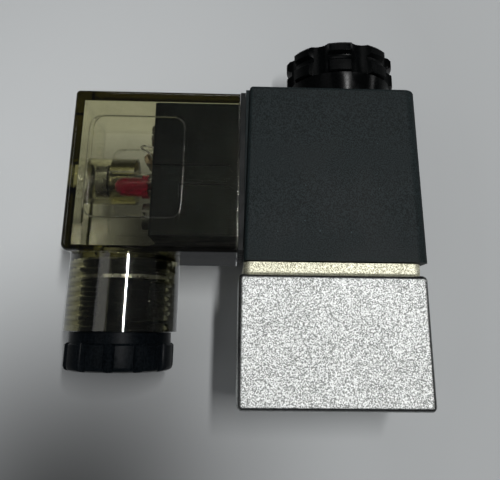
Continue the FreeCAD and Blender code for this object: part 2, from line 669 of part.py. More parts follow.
def plug_cover():
    s = block(COVER_X0, COVER_X1, -COVER_HALF_Y, COVER_HALF_Y, COVER_Z0, COVER_Z1)
    s = s.makeFillet(COVER_SIDE_R, edges_where(s, is_upright_at_x(COVER_X0)))
    s = s.makeFillet(COVER_TOP_R, edges_where(s, is_level_at_z(COVER_Z1, COVER_X1)))
    s = s.makeFillet(COVER_BOTTOM_R, edges_where(s, is_level_at_z(COVER_Z0, COVER_X1)))
    half = COVER_HALF_Y + LIP_OUT
    s = s.fuse(block(COVER_X0 + LIP_INSET, COVER_X1, -half, half, COVER_Z0, COVER_Z0 + LIP_H))
    s = s.fuse(rod(GLAND_TUBE_R, GLAND_TUBE_Z0, BULGE_TOP, GLAND_X))
    room = COVER_HALF_Y - WALL
    s = s.cut(block(COVER_X0 + WALL, COVER_X1 + OVER, -room, room, ROOM_Z0, ROOM_Z1))
    s = s.cut(rod(GLAND_BORE_R, GLAND_TUBE_Z0 - OVER, BULGE_TOP - WALL / 2, GLAND_X))
    s = s.fuse(ring(GLAND_BORE_R + RIB_ROOT, GLAND_STOP_R, GLAND_STOP_Z, ROOM_Z0, GLAND_X))
    s = s.fuse(rod_x(BOSS_R, COVER_X0 + WALL / 2, BOSS_X1, 0, PLUG_Z))
    s = s.cut(rod_x(HEAD_POCKET_R, COVER_X0 - OVER, HEAD_POCKET_X, 0, PLUG_Z))
    s = s.cut(rod_x(SHANK_HOLE_R, HEAD_POCKET_X - OVER, BOSS_X1 + OVER, 0, PLUG_Z))
    face = COVER_HALF_Y - WINDOW_DEPTH
    for y0, y1 in ((-COVER_HALF_Y - OVER, -face), (face, COVER_HALF_Y + OVER)):
        s = s.cut(window_recess(y0, y1))
    for rib in gland_ribs():
        s = s.fuse(rib)
    return s


def contact_blanks():
    """The outer forms of the two live contacts and the earth contact, without slots or threads."""
    t = CONTACT_T / 2
    w = CONTACT_W / 2
    live = []
    for y in (-LIVE_Y, LIVE_Y):
        clip = block(CONTACT_X0, CONTACT_X1, y - t, y + t, PLUG_Z - w, PLUG_Z + w)
        leg = block(CONTACT_X0, LEG_X1, y - LEG_HALF_Y, y + LEG_HALF_Y, LEG_Z0, PLUG_Z - w)
        live.append(clip.fuse(leg).removeSplitter())
    earth = block(CONTACT_X0, CONTACT_X1, -w, w, EARTH_Z - t, EARTH_Z + t)
    return live, earth


def blade_slot(half_y, half_z, y, z):
    p = SLOT_PLAY
    return block(SLOT_X0, CONTACT_X1 + OVER, y - half_y - p, y + half_y + p, z - half_z - p, z + half_z + p)


def live_contacts():
    blanks = contact_blanks()[0]
    r = TERMINAL_SHANK_R + 2 * SLIVER
    made = []
    for s, y in zip(blanks, (-LIVE_Y, LIVE_Y)):
        s = s.cut(blade_slot(BLADE_T / 2, BLADE_W / 2, y, PLUG_Z))
        made.append(s.cut(rod_x(r, CONTACT_X0 - OVER, LEG_X1 + OVER, y, TERMINAL_Z)))
    return made


def earth_contact():
    s = contact_blanks()[1].cut(blade_slot(BLADE_W / 2, BLADE_T / 2, 0, EARTH_Z))
    return s.cut(rod_x(TERMINAL_SHANK_R + 2 * SLIVER, CONTACT_X0 - OVER, LEG_X1, 0, EARTH_Z))


def plug_insert():
    s = block(INSERT_X0, COVER_X1, -INSERT_HALF_Y, INSERT_HALF_Y, INSERT_Z0, INSERT_Z1)
    s = s.makeFillet(INSERT_EDGE_R, edges_where(s, is_upright_at_x(INSERT_X0)))
    live, earth = contact_blanks()
    for blank in live + [earth]:
        s = s.cut(blank)
    for y in (-LIVE_Y, LIVE_Y):
        s = s.cut(blade_slot(BLADE_T / 2, BLADE_W / 2, y, PLUG_Z))
        s = s.cut(rod_x(TERMINAL_SHANK_R + SEAT, INSERT_X0 - OVER, TERMINAL_TIP_X + SEAT, y, TERMINAL_Z))
    s = s.cut(blade_slot(BLADE_W / 2, BLADE_T / 2, 0, EARTH_Z))
    s = s.cut(rod_x(TERMINAL_SHANK_R + SEAT, INSERT_X0 - OVER, CONTACT_X0 + SEAT, 0, EARTH_Z))
    s = s.cut(rod_x(SHANK_HOLE_R, INSERT_X0 - OVER, COVER_X1 + OVER, 0, PLUG_Z))
    floor = INSERT_HALF_Y - BAND_DEPTH
    x1 = COVER_X1 - BAND_INSET
    bands = ((INSERT_X0 - OVER, PLUG_Z + UPPER_BAND_DROP, UPPER_BAND_W),
             (x1 - LOWER_BAND_L, PLUG_Z + LOWER_BAND_DROP, LOWER_BAND_W))
    for x0, z0, width in bands:
        for y0, y1 in ((-INSERT_HALF_Y - OVER, -floor), (floor, INSERT_HALF_Y + OVER)):
            s = s.cut(block(x0, x1, y0, y1, z0, z0 + width))
    return s


def terminal_screws():
    made = []
    for y, z in ((-LIVE_Y, TERMINAL_Z), (LIVE_Y, TERMINAL_Z), (0, EARTH_Z)):
        x1 = INSERT_X0 - SEAT
        x0 = x1 - TERMINAL_HEAD_T
        s = rod_x(TERMINAL_HEAD_R, x0, x1, y, z)
        s = s.fuse(rod_x(TERMINAL_SHANK_R, x1 - SEAT, TERMINAL_TIP_X, y, z))
        slot = block(x0 - OVER, x0 + TERMINAL_SLOT_DEPTH, y - TERMINAL_HEAD_R, y + TERMINAL_HEAD_R,
                     z - TERMINAL_SLOT_W / 2, z + TERMINAL_SLOT_W / 2)
        made.append(s.cut(slot).removeSplitter())
    return made


def plug_gasket():
    s = block(GASKET_X0, GASKET_X1, -GASKET_HALF_Y, GASKET_HALF_Y, GASKET_Z0, GASKET_Z1)
    p = GASKET_HOLE_PLAY
    for cut in live_blades() + [earth_blade()]:
        box = cut.BoundBox
        s = s.cut(block(GASKET_X0 - OVER, GASKET_X1 + OVER, box.YMin - p, box.YMax + p,
                        box.ZMin - p, box.ZMax + p))
    return s.cut(rod_x(SHANK_HOLE_R, GASKET_X0 - OVER, GASKET_X1 + OVER, 0, PLUG_Z))


def plug_screw():
    s = rod_x(PLUG_HEAD_R, PLUG_HEAD_X0, PLUG_HEAD_X1, 0, PLUG_Z)
    s = s.fuse(rod_x(PLUG_SCREW_R, PLUG_HEAD_X1 - SEAT, PLUG_TIP_X, 0, PLUG_Z))
    for half_y, half_z in ((CROSS_L / 2, CROSS_W / 2), (CROSS_W / 2, CROSS_L / 2)):
        s = s.cut(block(PLUG_HEAD_X0 - OVER, PLUG_HEAD_X0 + CROSS_DEPTH, -half_y, half_y,
                        PLUG_Z - half_z, PLUG_Z + half_z))
    return s.removeSplitter()


def plug_screw_seal():
    x0 = HEAD_POCKET_X - PLUG_SEAL_T
    s = rod_x(PLUG_SEAL_R, x0, HEAD_POCKET_X - SEAT, 0, PLUG_Z)
    return s.cut(rod_x(PLUG_SCREW_R + RUN, x0 - OVER, HEAD_POCKET_X + OVER, 0, PLUG_Z))


def led_lamp():
    flange = rod_x(LED_FLANGE_R, LED_BASE_X - LED_FLANGE_T, LED_BASE_X, LED_Y, LED_Z)
    barrel = rod_x(LED_R, LED_DOME_X, LED_BASE_X - LED_FLANGE_T / 2, LED_Y, LED_Z)
    dome = Part.makeSphere(LED_R, vec(LED_DOME_X, LED_Y, LED_Z))
    return flange.fuse([barrel, dome]).removeSplitter()


def led_leads():
    made = []
    for side in (-1, 1):
        z = LED_Z + side * LEAD_SPREAD
        made.append(rod_x(LEAD_R, LED_BASE_X, INSERT_X0, LED_Y, z))
    return made


def led_resistor():
    half = RESISTOR_L / 2
    s = rod_y(RESISTOR_R, RESISTOR_Y - half, RESISTOR_Y + half, RESISTOR_X, RESISTOR_Z)
    ends = (RESISTOR_LEAD_Y - RESISTOR_LEAD_L / 2, RESISTOR_LEAD_Y + RESISTOR_LEAD_L / 2)
    s = s.fuse(rod_y(LEAD_R, ends[0], ends[1], RESISTOR_X, RESISTOR_Z))
    for y in ends:
        s = s.fuse(Part.makeSphere(LEAD_R, vec(RESISTOR_X, y, RESISTOR_Z)))
        s = s.fuse(rod_x(LEAD_R, RESISTOR_X, INSERT_X0, y, RESISTOR_Z))
    return s.removeSplitter()


def gland_nut():
    r = NUT_ROUND_R
    cut = r * (1 - math.sqrt(0.5))
    b = NUT_BEVEL
    s = turned([(0, NUT_Z0), (NUT_R - r, NUT_Z0), (NUT_R - cut, NUT_Z0 + cut), (NUT_R, NUT_Z0 + r),
                (NUT_R, NUT_HEAD_TOP - b), (NUT_R - b, NUT_HEAD_TOP), (NECK_R, NUT_HEAD_TOP),
                (NECK_R, NECK_TOP), (NUT_THREAD_R, NECK_TOP), (NUT_THREAD_R, NUT_TOP - b),
                (NUT_THREAD_R - b, NUT_TOP), (0, NUT_TOP)], GLAND_X)
    for i in range(NUT_GRIP_COUNT):
        a = math.radians(360 / NUT_GRIP_COUNT * i)
        x = GLAND_X + NUT_GRIP_CUT_DIST * math.cos(a)
        y = NUT_GRIP_CUT_DIST * math.sin(a)
        s = s.cut(rod(NUT_GRIP_CUT_R, NUT_Z0 - OVER, NUT_HEAD_TOP, x, y))
    return s.cut(rod(CABLE_R, NUT_Z0 - OVER, NUT_TOP + OVER, GLAND_X))


def gland_washer():
    return ring(NUT_THREAD_R, CABLE_R + SEAL_PLAY, NUT_TOP + 2 * SLIVER, WASHER_TOP, GLAND_X)


def cable_seal():
    return ring(NUT_THREAD_R, CABLE_R + SEAL_PLAY, WASHER_TOP + 2 * SLIVER, SEAL_TOP, GLAND_X)


save("valve_body", valve_block())
save("bonnet_plate", bonnet_plate())
save_group("plate_screws", plate_screws())
save("flange_seal", flange_seal())
save("armature_tube", armature_tube())
save("fixed_core", fixed_core())
save("shading_ring", ring(SHADE_OUT_R, SHADE_IN_R, CORE_Z0 + SEAT, CORE_Z0 + SHADE_H - SEAT))
save("plunger", plunger())
save("plunger_seal", rod(DISC_R, DISC_Z0, DISC_Z1 - 2 * SLIVER))
save("return_spring", return_spring())
save("coil_case", coil_case())
save("coil_yoke", coil_yoke())
save("coil_bobbin", coil_bobbin())
save("coil_winding", coil_winding())
save_group("live_blades", live_blades())
save("earth_blade", earth_blade())
save("coil_thread_insert", coil_nut_insert())
save("coil_nut", coil_nut())
save("coil_nut_ring", coil_nut_ring())
save("plug_cover", plug_cover())
save("plug_insert", plug_insert())
save_group("live_contacts", live_contacts())
save("earth_contact", earth_contact())
save_group("terminal_screws", terminal_screws())
save("plug_gasket", plug_gasket())
save("plug_screw", plug_screw())
save("plug_screw_seal", plug_screw_seal())
save("led_lamp", led_lamp())
save_group("led_leads", led_leads())
save("led_resistor", led_resistor())
save("gland_nut", gland_nut())
save("gland_washer", gland_washer())
save("cable_seal", cable_seal())
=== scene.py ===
import bpy
import json
import math
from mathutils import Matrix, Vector


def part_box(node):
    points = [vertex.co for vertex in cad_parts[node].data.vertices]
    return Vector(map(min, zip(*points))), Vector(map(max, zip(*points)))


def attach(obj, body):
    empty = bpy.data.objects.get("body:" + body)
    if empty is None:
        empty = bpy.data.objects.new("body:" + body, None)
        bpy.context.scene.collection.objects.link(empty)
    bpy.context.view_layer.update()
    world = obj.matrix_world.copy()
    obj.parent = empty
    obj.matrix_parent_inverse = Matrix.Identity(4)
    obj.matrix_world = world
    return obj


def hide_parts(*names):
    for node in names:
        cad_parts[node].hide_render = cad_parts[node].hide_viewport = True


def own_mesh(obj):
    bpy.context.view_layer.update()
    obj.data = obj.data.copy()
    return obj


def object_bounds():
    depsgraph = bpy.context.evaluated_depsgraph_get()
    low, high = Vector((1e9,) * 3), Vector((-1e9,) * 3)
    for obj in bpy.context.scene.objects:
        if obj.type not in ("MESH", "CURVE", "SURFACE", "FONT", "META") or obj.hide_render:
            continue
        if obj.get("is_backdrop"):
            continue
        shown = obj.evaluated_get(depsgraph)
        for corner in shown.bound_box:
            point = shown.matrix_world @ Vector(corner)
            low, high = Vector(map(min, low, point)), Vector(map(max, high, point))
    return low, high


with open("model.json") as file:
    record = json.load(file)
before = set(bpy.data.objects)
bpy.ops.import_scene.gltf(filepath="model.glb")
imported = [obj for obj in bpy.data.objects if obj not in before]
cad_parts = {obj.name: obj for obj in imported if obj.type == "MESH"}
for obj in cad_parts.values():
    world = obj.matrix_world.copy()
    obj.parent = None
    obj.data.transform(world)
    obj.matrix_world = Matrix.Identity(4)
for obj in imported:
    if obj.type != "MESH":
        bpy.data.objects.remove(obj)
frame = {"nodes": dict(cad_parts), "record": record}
cad_low, cad_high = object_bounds()
MM = 0.001

# The valve block is a sawn and milled piece of light alloy, blasted with glass beads all over.
# Its grain is bright with dark gaps between and a few pits; its radiused edges are worn smooth, so
# they mirror the dim room, and their colour is darkened there as painted shade. It has a port in
# each end.


def speckle_group():
    group = bpy.data.node_groups.new("speckle", "ShaderNodeTree")
    sockets = group.interface
    for name, value in (("Grain mm", 0.3), ("Blotch mm", 6.0), ("Contrast", 0.5)):
        made = sockets.new_socket(name, in_out="INPUT", socket_type="NodeSocketFloat")
        made.default_value = value
    for name in ("Grain", "Blotch", "Height"):
        sockets.new_socket(name, in_out="OUTPUT", socket_type="NodeSocketFloat")
    nodes, links = group.nodes, group.links
    ins = nodes.new("NodeGroupInput")
    outs = nodes.new("NodeGroupOutput")
    place = nodes.new("ShaderNodeTexCoord")
    noises = []
    for socket, detail in (("Grain mm", 2.5), ("Blotch mm", 4.0)):
        per_metre = nodes.new("ShaderNodeMath")
        per_metre.operation = "DIVIDE"
        per_metre.inputs[0].default_value = 1 / MM
        links.new(ins.outputs[socket], per_metre.inputs[1])
        noise = nodes.new("ShaderNodeTexNoise")
        noise.inputs["Detail"].default_value = detail
        links.new(place.outputs["Object"], noise.inputs["Vector"])
        links.new(per_metre.outputs[0], noise.inputs["Scale"])
        noises.append(noise)
    half = nodes.new("ShaderNodeMath")
    half.operation = "MULTIPLY"
    half.inputs[1].default_value = 0.25
    links.new(ins.outputs["Contrast"], half.inputs[0])
    low = nodes.new("ShaderNodeMath")
    low.operation = "ADD"
    low.inputs[0].default_value = 0.28
    links.new(half.outputs[0], low.inputs[1])
    high = nodes.new("ShaderNodeMath")
    high.operation = "SUBTRACT"
    high.inputs[0].default_value = 0.72
    links.new(half.outputs[0], high.inputs[1])
    for noise, name in zip(noises, ("Grain", "Blotch")):
        spread = nodes.new("ShaderNodeMapRange")
        spread.interpolation_type = "SMOOTHSTEP"
        links.new(noise.outputs["Fac"], spread.inputs["Value"])
        links.new(low.outputs[0], spread.inputs["From Min"])
        links.new(high.outputs[0], spread.inputs["From Max"])
        links.new(spread.outputs["Result"], outs.inputs[name])
    links.new(noises[0].outputs["Fac"], outs.inputs["Height"])
    return group


speckle = speckle_group()


def ramp(tree, source, start=0.0, end=1.0, at_start=0.0, at_end=1.0, smooth=False):
    """Turns a value into another one while it runs from start to end."""
    made = tree.nodes.new("ShaderNodeMapRange")
    made.interpolation_type = "SMOOTHSTEP" if smooth else "LINEAR"
    for socket, value in (("From Min", start), ("From Max", end),
                          ("To Min", at_start), ("To Max", at_end)):
        made.inputs[socket].default_value = value
    tree.links.new(source, made.inputs["Value"])
    return made


def largest(tree, *values):
    """The largest of several values."""
    top = values[0]
    for value in values[1:]:
        larger = tree.nodes.new("ShaderNodeMath")
        larger.operation = "MAXIMUM"
        tree.links.new(top, larger.inputs[0])
        tree.links.new(value, larger.inputs[1])
        top = larger.outputs[0]
    return top


def scaled(tree, colour, factor):
    """A colour times a value. The colour is an output of a node, or three numbers."""
    made = tree.nodes.new("ShaderNodeVectorMath")
    made.operation = "SCALE"
    if isinstance(colour, tuple):
        made.inputs[0].default_value = colour
    else:
        tree.links.new(colour, made.inputs[0])
    tree.links.new(factor, made.inputs["Scale"])
    return made.outputs["Vector"]


def finish(name, dark, light, rough, grain=0.3, blotch=6.0, contrast=0.5, bump=0.01,
           rough_play=0.08, tone_play=0.12, metallic=0.0, **sockets):
    """A material whose grain runs between two colours, with slow blotches in tone and gloss."""
    made = bpy.data.materials.new(name)
    made.use_nodes = True
    tree = made.node_tree
    nodes, links = tree.nodes, tree.links
    shader = nodes["Principled BSDF"]
    shader.inputs["Metallic"].default_value = metallic
    for socket, value in sockets.items():
        shader.inputs[socket.replace("_", " ")].default_value = value
    effect = nodes.new("ShaderNodeGroup")
    effect.node_tree = speckle
    effect.inputs["Grain mm"].default_value = grain
    effect.inputs["Blotch mm"].default_value = blotch
    effect.inputs["Contrast"].default_value = contrast
    tint = nodes.new("ShaderNodeMix")
    tint.data_type = "RGBA"
    tint.inputs["A"].default_value = (*dark, 1)
    tint.inputs["B"].default_value = (*light, 1)
    links.new(effect.outputs["Grain"], tint.inputs["Factor"])
    blotch_out = effect.outputs["Blotch"]
    tone = ramp(tree, blotch_out, at_start=1 - tone_play, at_end=1 + tone_play)
    links.new(scaled(tree, tint.outputs["Result"], tone.outputs["Result"]),
              shader.inputs["Base Color"])
    gloss = ramp(tree, blotch_out, at_start=max(rough - rough_play, 0.01),
                 at_end=rough + rough_play)
    links.new(gloss.outputs["Result"], shader.inputs["Roughness"])
    relief = nodes.new("ShaderNodeBump")
    relief.inputs["Distance"].default_value = bump * MM
    links.new(effect.outputs["Height"], relief.inputs["Height"])
    links.new(relief.outputs["Normal"], shader.inputs["Normal"])
    return made


def dot(material, spacing_mm, radius_mm, factor):
    """Scattered dots in a finish, each darker or brighter than the skin round it."""
    tree = material.node_tree
    nodes, links = tree.nodes, tree.links
    place = nodes.new("ShaderNodeTexCoord")
    spots = nodes.new("ShaderNodeTexVoronoi")
    spots.inputs["Scale"].default_value = 1 / (spacing_mm * MM)
    links.new(place.outputs["Object"], spots.inputs["Vector"])
    radius = radius_mm / spacing_mm
    edge = ramp(tree, spots.outputs["Distance"], start=radius * 0.6, end=radius, at_start=factor)
    skin = nodes["Principled BSDF"].inputs["Base Color"]
    links.new(scaled(tree, skin.links[0].from_socket, edge.outputs["Result"]), skin)


def coat(material, *names):
    """Gives the finish to the solids that keep the shape they have."""
    for name in names:
        slots = frame["nodes"][name].data.materials
        slots.clear()
        slots.append(material)


blasted_alloy = finish("blasted_alloy", (0.24, 0.25, 0.24), (0.81, 0.82, 0.81), 0.70,
                       grain=0.14, blotch=7, contrast=0.85, bump=0.03, rough_play=0.015,
                       tone_play=0.015, metallic=1.0)
# The dark dots are the block's pits, which have no depth here; their darkness is painted shade.
dot(blasted_alloy, 9.5, 0.52, 0.12)
tree = blasted_alloy.node_tree
nodes, links = tree.nodes, tree.links
facing = nodes.new("ShaderNodeNewGeometry")
upright = nodes.new("ShaderNodeVectorMath")
upright.operation = "ABSOLUTE"
links.new(facing.outputs["True Normal"], upright.inputs[0])
sides = nodes.new("ShaderNodeSeparateXYZ")
links.new(upright.outputs["Vector"], sides.inputs[0])
squarest = largest(tree, sides.outputs["X"], sides.outputs["Y"], sides.outputs["Z"])
# Where the normal turns away from the block's faces, the colour is darkened as painted shade and
# the roughness is lowered.
on_edge, on_face = 0.93, 0.99
for socket, at_edge in (("Base Color", 0.45), ("Roughness", 0.36)):
    edge_shade_and_gloss = ramp(tree, squarest, start=on_edge, end=on_face, at_start=at_edge)
    skin = nodes["Principled BSDF"].inputs[socket]
    links.new(scaled(tree, skin.links[0].from_socket, edge_shade_and_gloss.outputs["Result"]), skin)
coat(blasted_alloy, "valve_body")

# Each port is tapped. The thread shows as a fine ridge that winds down the wall of the hole.

mounts = {mount["name"]: mount for mount in frame["record"]["mounts"]}
for name, port in (("inlet_thread", mounts["port_inlet"]),
                   ("outlet_thread", mounts["port_outlet"])):
    way = -port["axis"][0]
    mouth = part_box("valve_body")[0 if way > 0 else 1].x
    ridge = 0.22 * MM
    pitch = 0.9 * MM
    first_turn = 1.2 * MM
    bpy.ops.object.select_all(action="DESELECT")
    bpy.ops.mesh.primitive_circle_add(
        vertices=3, radius=ridge, rotation=(math.pi / 2, 0, 0),
        location=(mouth + way * first_turn, 0, port["pos_m"][2]))
    thread = bpy.context.active_object
    thread.name = name
    bpy.ops.object.transform_apply(location=False, rotation=True, scale=False)
    bpy.ops.object.mode_set(mode="EDIT")
    bpy.ops.transform.translate(value=(0, 0, port["dims"]["r_mm"] * MM))
    bpy.ops.object.mode_set(mode="OBJECT")
    winding = thread.modifiers.new("winding", "SCREW")
    winding.axis = "X"
    winding.screw_offset = way * pitch
    winding.iterations = 6
    winding.steps = winding.render_steps = 48
    bpy.ops.object.modifier_apply(modifier=winding.name)
    bpy.ops.object.transform_apply(location=True, rotation=True, scale=True)
    bpy.ops.object.mode_set(mode="EDIT")
    bpy.ops.mesh.select_all(action="DESELECT")
    bpy.ops.mesh.select_non_manifold()
    bpy.ops.mesh.fill()
    bpy.ops.mesh.select_all(action="SELECT")
    bpy.ops.mesh.normals_make_consistent(inside=False)
    bpy.ops.object.mode_set(mode="OBJECT")
    bpy.ops.object.shade_smooth_by_angle(angle=math.radians(40))
    thread.data.materials.append(blasted_alloy)
    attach(thread, "valve")

# The bonnet plate is a thin zinc-plated steel plate with the yellow of its passivation.
# Four countersunk screws hold it down on the block, and it traps the flange of the tube.

yellow_zinc = finish("yellow_zinc", (0.26, 0.25, 0.18), (0.82, 0.81, 0.66), 0.64,
                     grain=0.12, blotch=5, contrast=0.95, bump=0.02, rough_play=0.02,
                     tone_play=0.06, metallic=1.0)
screw_steel = finish("screw_steel", (0.50, 0.50, 0.48), (0.75, 0.75, 0.73), 0.30,
                     grain=0.15, blotch=2, contrast=0.4, bump=0.004, metallic=1.0)
black_rubber = finish("black_rubber", (0.003, 0.004, 0.004), (0.007, 0.008, 0.008), 0.62,
                      grain=0.15, blotch=3, contrast=0.4, bump=0.008, Specular_IOR_Level=0.15)


def soften(name, width_mm, body, finish_made):
    """A copy of a solid whose sharp edges are broken, as they come from a mould or a tool."""
    bpy.ops.object.select_all(action="DESELECT")
    copy = bpy.data.objects.new(name + "_edges", frame["nodes"][name].data.copy())
    bpy.context.scene.collection.objects.link(copy)
    copy.select_set(True)
    bpy.context.view_layer.objects.active = copy
    bpy.ops.object.mode_set(mode="EDIT")
    bpy.ops.mesh.select_all(action="SELECT")
    bpy.ops.mesh.remove_doubles(threshold=0.002 * MM)
    bpy.ops.mesh.dissolve_limited(angle_limit=math.radians(1))
    bpy.ops.object.mode_set(mode="OBJECT")
    rounding = copy.modifiers.new("rounding", "BEVEL")
    rounding.width = width_mm * MM
    rounding.segments = 2
    rounding.limit_method = "ANGLE"
    rounding.angle_limit = math.radians(38)
    bpy.ops.object.modifier_apply(modifier=rounding.name)
    bpy.ops.object.shade_smooth_by_angle(angle=math.radians(50))
    flats = copy.modifiers.new("flats", "WEIGHTED_NORMAL")
    flats.weight = 100
    flats.keep_sharp = True
    bpy.ops.object.modifier_apply(modifier=flats.name)
    copy.data.materials.clear()
    copy.data.materials.append(finish_made)
    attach(copy, body)
    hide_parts(name)
    return copy


soften("bonnet_plate", 0.12, "valve", yellow_zinc)
coat(screw_steel, "plate_screws")
coat(black_rubber, "flange_seal")

# The armature tube is drawn stainless steel, and the fixed core and the plunger in it are bars of
# magnetic stainless steel. A copper ring in the core's face and a sprung plunger complete it.

stainless = finish("stainless", (0.52, 0.52, 0.50), (0.72, 0.72, 0.70), 0.26,
                   grain=0.2, blotch=4, contrast=0.3, bump=0.004, metallic=1.0)
spring_wire = finish("spring_wire", (0.45, 0.44, 0.42), (0.66, 0.65, 0.62), 0.24,
                     grain=0.1, blotch=1.5, contrast=0.3, bump=0.002, metallic=1.0)
copper = finish("copper", (0.60, 0.27, 0.14), (0.82, 0.42, 0.25), 0.30,
                grain=0.15, blotch=2, contrast=0.4, bump=0.003, metallic=1.0)
seal_rubber = finish("seal_rubber", (0.030, 0.034, 0.026), (0.055, 0.060, 0.048), 0.6,
                     grain=0.15, blotch=2, contrast=0.3, bump=0.005)
coat(stainless, "armature_tube", "fixed_core", "plunger")
coat(copper, "shading_ring", "coil_winding")
coat(seal_rubber, "plunger_seal")

# The return spring is wound from steel wire. It stays seated on the core.

spring = bpy.data.objects.new("spring_wound", frame["nodes"]["return_spring"].data.copy())
bpy.context.scene.collection.objects.link(spring)
spring.data.materials.clear()
spring.data.materials.append(spring_wire)
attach(spring, "valve")
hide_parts("return_spring")
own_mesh(spring)

# The coil is moulded in a near-black filled plastic with a fine eroded texture. Inside are its
# bobbin, the winding and the steel yoke; two blades and an earth blade stand out to the plug.

coil_plastic = finish("coil_plastic", (0.003, 0.005, 0.005), (0.011, 0.016, 0.017), 0.55,
                      grain=0.18, blotch=12, contrast=0.6, bump=0.006, rough_play=0.02,
                      tone_play=0.05, Specular_IOR_Level=0.08)
dot(coil_plastic, 1.7, 0.09, 5.0)
bobbin_plastic = finish("bobbin_plastic", (0.30, 0.27, 0.20), (0.36, 0.33, 0.25), 0.5,
                        grain=0.3, blotch=4, contrast=0.3, bump=0.004)
yoke_steel = finish("yoke_steel", (0.35, 0.36, 0.38), (0.52, 0.53, 0.55), 0.38,
                    grain=0.25, blotch=4, contrast=0.4, bump=0.005, metallic=1.0)
tinned_brass = finish("tinned_brass", (0.46, 0.45, 0.40), (0.66, 0.65, 0.60), 0.30,
                      grain=0.15, blotch=2, contrast=0.3, bump=0.003, metallic=1.0)
coat(coil_plastic, "coil_case")
coat(bobbin_plastic, "coil_bobbin")
coat(yoke_steel, "coil_yoke")
coat(tinned_brass, "live_blades", "earth_blade", "coil_thread_insert")

# The coil nut is a black moulded knob with two tiers of lobes and a groove between them.
# It is screwed on the core's stud by hand, with a rubber ring under its skirt.

knob_plastic = finish("knob_plastic", (0.0006, 0.0008, 0.0008), (0.0014, 0.0017, 0.0018),
                      0.28, grain=0.25, blotch=5, contrast=0.5, bump=0.002,
                      Specular_IOR_Level=0.05)
soften("coil_nut", 0.22, "coil_nut", knob_plastic)
coat(black_rubber, "coil_nut_ring")

# The plug's cover is one moulding of clear, faintly smoky plastic, with the gland tube below it.
# It is a real wall about a millimetre and a half thick, so it bends light at its edges.

clear_cover = finish("clear_cover", (0.95, 0.95, 0.93), (0.98, 0.98, 0.96), 0.04,
                     grain=0.4, blotch=5, contrast=0.2, bump=0.006, rough_play=0.02, tone_play=0.02,
                     Transmission_Weight=1.0, IOR=1.58)
smoke = clear_cover.node_tree.nodes.new("ShaderNodeVolumeAbsorption")
smoke.inputs["Color"].default_value = (0.62, 0.60, 0.36, 1)
smoke.inputs["Density"].default_value = 420
clear_cover.node_tree.links.new(
    smoke.outputs[0], clear_cover.node_tree.nodes["Material Output"].inputs["Volume"])
soften("plug_cover", 0.15, "plug", clear_cover)

# A fine bead runs round the cover's mouth beside the coil and catches the light. It is a
# rectangle with rounded corners and a thin round section.

low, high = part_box("plug_cover")
bpy.ops.object.select_all(action="DESELECT")
bpy.ops.mesh.primitive_plane_add(size=1, location=(0, 0, 0), rotation=(0, math.pi / 2, 0))
mouth_bead = bpy.context.active_object
mouth_bead.name = "mouth_bead"
mouth_bead.scale = (27.0 * MM, 20.7 * MM, 1)
bpy.ops.object.transform_apply(location=False, rotation=True, scale=True)
bpy.ops.object.mode_set(mode="EDIT")
bpy.ops.mesh.select_all(action="SELECT")
bpy.ops.mesh.bevel(offset=0.5 * MM, segments=4, affect="VERTICES")
bpy.ops.mesh.select_all(action="SELECT")
bpy.ops.mesh.delete(type="ONLY_FACE")
bpy.ops.object.mode_set(mode="OBJECT")
bpy.ops.object.convert(target="CURVE")
mouth_bead.data.bevel_depth = 0.14 * MM
mouth_bead.data.bevel_resolution = 3
bpy.ops.object.convert(target="MESH")
mouth_bead.location = (high.x - 0.15 * MM, 0, high.z - 13.6 * MM)
bpy.ops.object.transform_apply(location=True, rotation=True, scale=True)
bpy.ops.object.shade_smooth()
mouth_bead.data.materials.append(clear_cover)
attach(mouth_bead, "plug")

# Another bead runs round the shallow panel in the cover's front. The cover's back has the same
# panel, so the bead is mirrored to it.

bpy.ops.object.select_all(action="DESELECT")
bpy.ops.mesh.primitive_plane_add(size=1, location=(0, 0, 0), rotation=(math.pi / 2, 0, 0))
bead = bpy.context.active_object
bead.name = "panel_bead"
bead.scale = (15.8 * MM, 17.2 * MM, 1)
bpy.ops.object.transform_apply(location=False, rotation=True, scale=True)
bpy.ops.object.mode_set(mode="EDIT")
bpy.ops.mesh.select_all(action="SELECT")
bpy.ops.mesh.bevel(offset=2.0 * MM, segments=8, affect="VERTICES")
bpy.ops.mesh.select_all(action="SELECT")
bpy.ops.mesh.delete(type="ONLY_FACE")
bpy.ops.object.mode_set(mode="OBJECT")
bpy.ops.object.convert(target="CURVE")
bead.data.bevel_depth = 0.13 * MM
bead.data.bevel_resolution = 3
bpy.ops.object.convert(target="MESH")
bead.location = (low.x + 11.5 * MM, low.y + 0.31 * MM, high.z - 13.2 * MM)
bpy.ops.object.transform_apply(location=True, rotation=True, scale=True)
bpy.ops.object.shade_smooth()
bpy.ops.object.modifier_add(type="MIRROR")
bead.modifiers[-1].use_axis = (False, True, False)
bpy.ops.object.modifier_apply(modifier=bead.modifiers[-1].name)
bead.data.materials.append(clear_cover)
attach(bead, "plug")

# The plug's insert is black plastic and carries two live contacts and the earth contact, each
# with a terminal screw. A flat rubber gasket lies between the plug and the coil.

insert_plastic = finish("insert_plastic", (0.0008, 0.0022, 0.0032), (0.003, 0.0065, 0.0085), 0.45,
                        grain=0.3, blotch=4, contrast=0.5, bump=0.006, Specular_IOR_Level=0.12)
# The terminal screws get a darker steel than the other screws.
darkened_steel = finish("darkened_steel", (0.10, 0.10, 0.09), (0.20, 0.20, 0.18), 0.45,
                     grain=0.15, blotch=2, contrast=0.4, bump=0.004, metallic=1.0)
coat(insert_plastic, "plug_insert")
coat(tinned_brass, "live_contacts", "earth_contact")
coat(darkened_steel, "terminal_screws")
coat(screw_steel, "plug_screw")
coat(black_rubber, "plug_gasket", "plug_screw_seal")

# The lamp is a small red one with two bare leads, and a resistor stands in line with it.
# It lights when the coil has power, and is off here.

